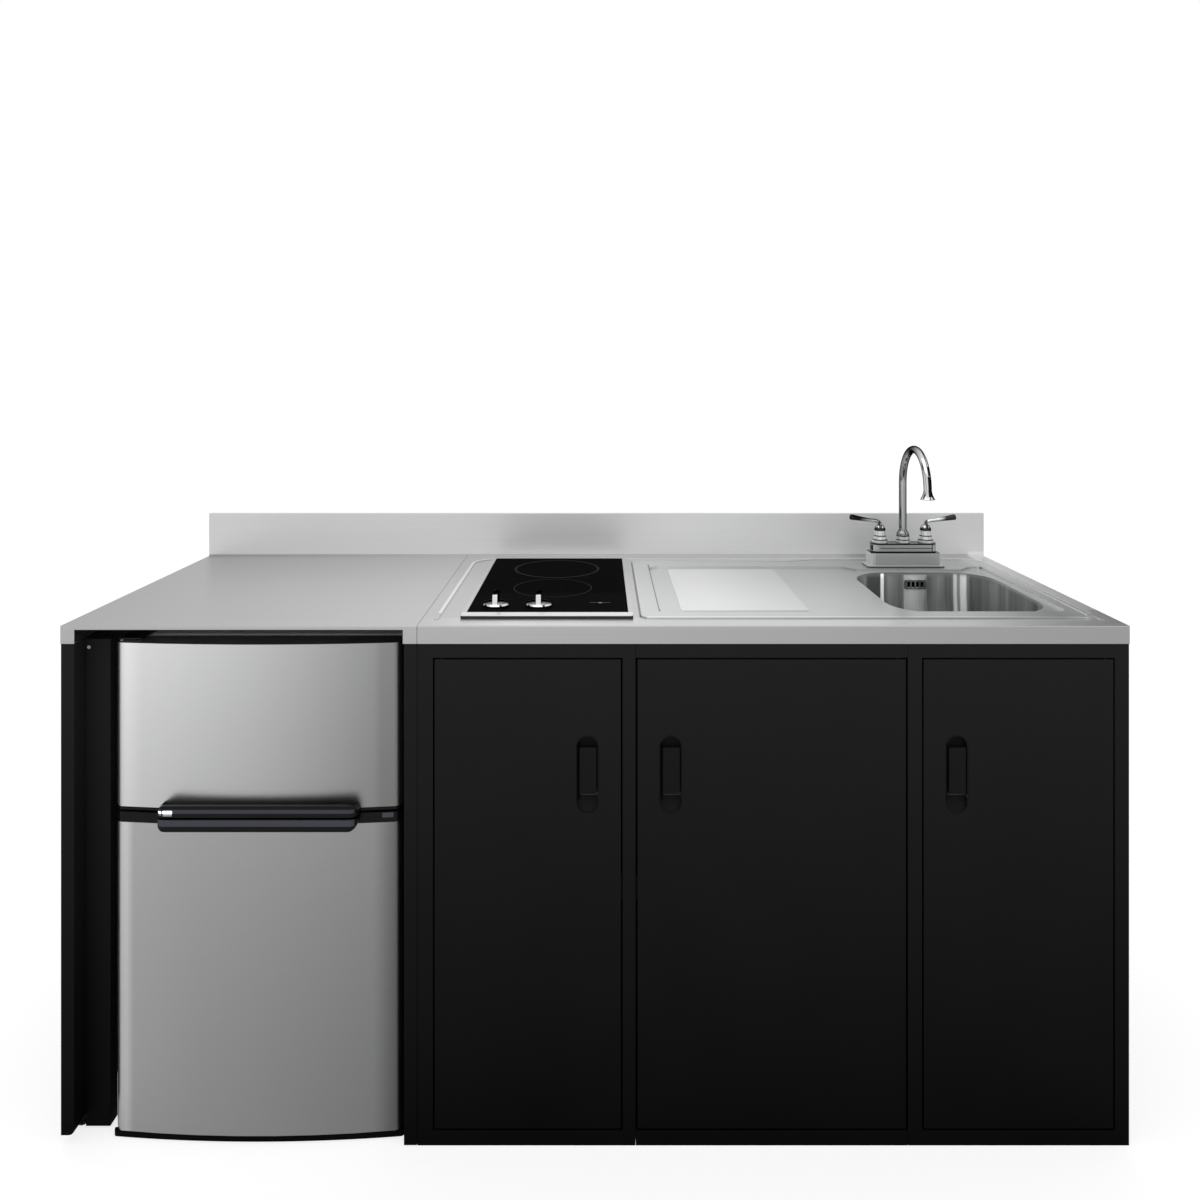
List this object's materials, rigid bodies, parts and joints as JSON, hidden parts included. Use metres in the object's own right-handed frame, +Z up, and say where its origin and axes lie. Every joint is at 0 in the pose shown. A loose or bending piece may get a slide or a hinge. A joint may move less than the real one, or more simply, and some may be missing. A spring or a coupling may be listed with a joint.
{
  "type": "kitchenette unit with sink and hob",
  "caption": "Compact kitchen unit with black steel cabinets under a steel worktop, with an inset hob, sink with drainer and arched tap, and a fridge with freezer in an open bay.",
  "frame": {"origin": "on the floor under the middle of the unit's box", "axes": "+X to the right along the worktop, +Y to the back, +Z up; the doors face -Y"},
  "size_m": [1.829, 0.636, 1.1653],
  "materials": {
    "brushed_steel": "brushed stainless steel",
    "sink_steel": "satin stainless steel",
    "chrome": "polished chrome",
    "black_paint": "satin black powder coat",
    "zinc_steel": "zinc plated",
    "black_glass": "gloss black glass ceramic",
    "grey_plastic": "satin grey",
    "black_plastic": "satin black",
    "white_liner": "smooth white",
    "clear_plastic": "clear plastic",
    "fridge_steel": "brushed metallic grey",
    "rubber": "matt black",
    "insulation": "matt grey",
    "amber_lens": "clear amber"
  },
  "bodies": {
    "unit_body": {"left_worktop": "brushed_steel", "right_worktop": "brushed_steel", "hob_cabinet": "black_paint", "hob_door_catch": "grey_plastic", "storage_cabinet": "black_paint", "storage_door_catch": "grey_plastic", "storage_shelf": "black_paint", "sink_cabinet": "black_paint", "sink_door_catch": "grey_plastic", "bay_left_panel": "black_paint", "bay_right_panel": "black_paint", "bay_filler": "black_paint", "bay_rear_rail": "black_paint", "bay_front_glide": "black_plastic", "bay_rear_glide": "black_plastic", "hob_trim": "brushed_steel", "hob_glass": "black_glass", "hob_pan": "zinc_steel", "hob_rear_element": "insulation", "hob_front_element": "insulation", "hob_rear_regulator": "grey_plastic", "hob_front_regulator": "grey_plastic", "hob_indicator_lens": "amber_lens", "sink": "sink_steel", "sink_overflow_cover": "chrome", "sink_waste": "chrome", "sink_trap": "grey_plastic", "tap_body": "chrome", "fridge_top_hinge": "black_plastic", "fridge_middle_hinge": "zinc_steel", "fridge_bottom_hinge": "zinc_steel", "fridge_cabinet": "white_liner", "fridge_base": "black_plastic", "fridge_lower_shelf": "clear_plastic", "fridge_upper_shelf": "clear_plastic", "fridge_drawer": "clear_plastic", "fridge_compressor": "black_paint", "fridge_condenser": "black_paint"},
    "hob_door_body": {"hob_door": "black_paint", "hob_door_pull": "black_plastic"},
    "storage_door_body": {"storage_door": "black_paint", "storage_door_pull": "black_plastic"},
    "sink_door_body": {"sink_door": "black_paint", "sink_door_pull": "black_plastic"},
    "freezer_door_body": {"freezer_door": "fridge_steel", "freezer_door_grip": "black_plastic", "freezer_door_gasket": "rubber"},
    "fridge_door_body": {"fridge_door": "fridge_steel", "fridge_door_grip": "black_plastic", "fridge_door_gasket": "rubber", "fridge_door_rack": "clear_plastic"},
    "hob_front_knob_body": {"hob_front_knob": "chrome"},
    "hob_rear_knob_body": {"hob_rear_knob": "chrome"},
    "tap_spout_body": {"tap_spout": "chrome", "tap_aerator": "chrome"},
    "tap_hot_lever_body": {"tap_hot_lever": "chrome"},
    "tap_cold_lever_body": {"tap_cold_lever": "chrome"},
    "sink_strainer_body": {"sink_strainer": "chrome"},
    "thermostat_dial_body": {"fridge_thermostat_dial": "grey_plastic"}
  },
  "joints": [
    {"name": "hob_door_hinge", "type": "hinge", "parent": "unit_body", "child": "hob_door_body", "pos_m": [-0.2627, -0.296, 0.43], "axis": [0, 0, -1], "range_deg": [0, 95]},
    {"name": "storage_door_hinge", "type": "hinge", "parent": "unit_body", "child": "storage_door_body", "pos_m": [0.5202, -0.296, 0.43], "axis": [0, 0, 1], "range_deg": [0, 95]},
    {"name": "sink_door_hinge", "type": "hinge", "parent": "unit_body", "child": "sink_door_body", "pos_m": [0.8752, -0.296, 0.43], "axis": [0, 0, 1], "range_deg": [0, 95]},
    {"name": "freezer_door_hinge", "type": "hinge", "parent": "unit_body", "child": "freezer_door_body", "pos_m": [-0.8143, -0.259, 0.717], "axis": [0, 0, -1], "range_deg": [0, 100]},
    {"name": "fridge_door_hinge", "type": "hinge", "parent": "unit_body", "child": "fridge_door_body", "pos_m": [-0.8143, -0.259, 0.283], "axis": [0, 0, -1], "range_deg": [0, 100]},
    {"name": "hob_front_knob_turn", "type": "hinge", "parent": "unit_body", "child": "hob_front_knob_body", "pos_m": [-0.1035, -0.185, 0.896], "axis": [0, 0, 1], "continuous": true},
    {"name": "hob_rear_knob_turn", "type": "hinge", "parent": "unit_body", "child": "hob_rear_knob_body", "pos_m": [-0.1825, -0.185, 0.896], "axis": [0, 0, 1], "continuous": true},
    {"name": "tap_spout_swivel", "type": "hinge", "parent": "unit_body", "child": "tap_spout_body", "pos_m": [0.686, 0.191, 0.958], "axis": [0, 0, 1], "range_deg": [-120, 120]},
    {"name": "tap_hot_turn", "type": "hinge", "parent": "unit_body", "child": "tap_hot_lever_body", "pos_m": [0.635, 0.191, 0.972], "axis": [0, 0, 1], "range_deg": [0, 90]},
    {"name": "tap_cold_turn", "type": "hinge", "parent": "unit_body", "child": "tap_cold_lever_body", "pos_m": [0.737, 0.191, 0.972], "axis": [0, 0, -1], "range_deg": [0, 90]},
    {"name": "sink_strainer_lift", "type": "slide", "parent": "unit_body", "child": "sink_strainer_body", "axis": [0, 0, 1], "range_m": [0, 0.06]},
    {"name": "thermostat_turn", "type": "hinge", "parent": "unit_body", "child": "thermostat_dial_body", "pos_m": [-0.4, -0.1184, 0.49], "axis": [1, 0, 0], "range_deg": [0, 300]}
  ]
}
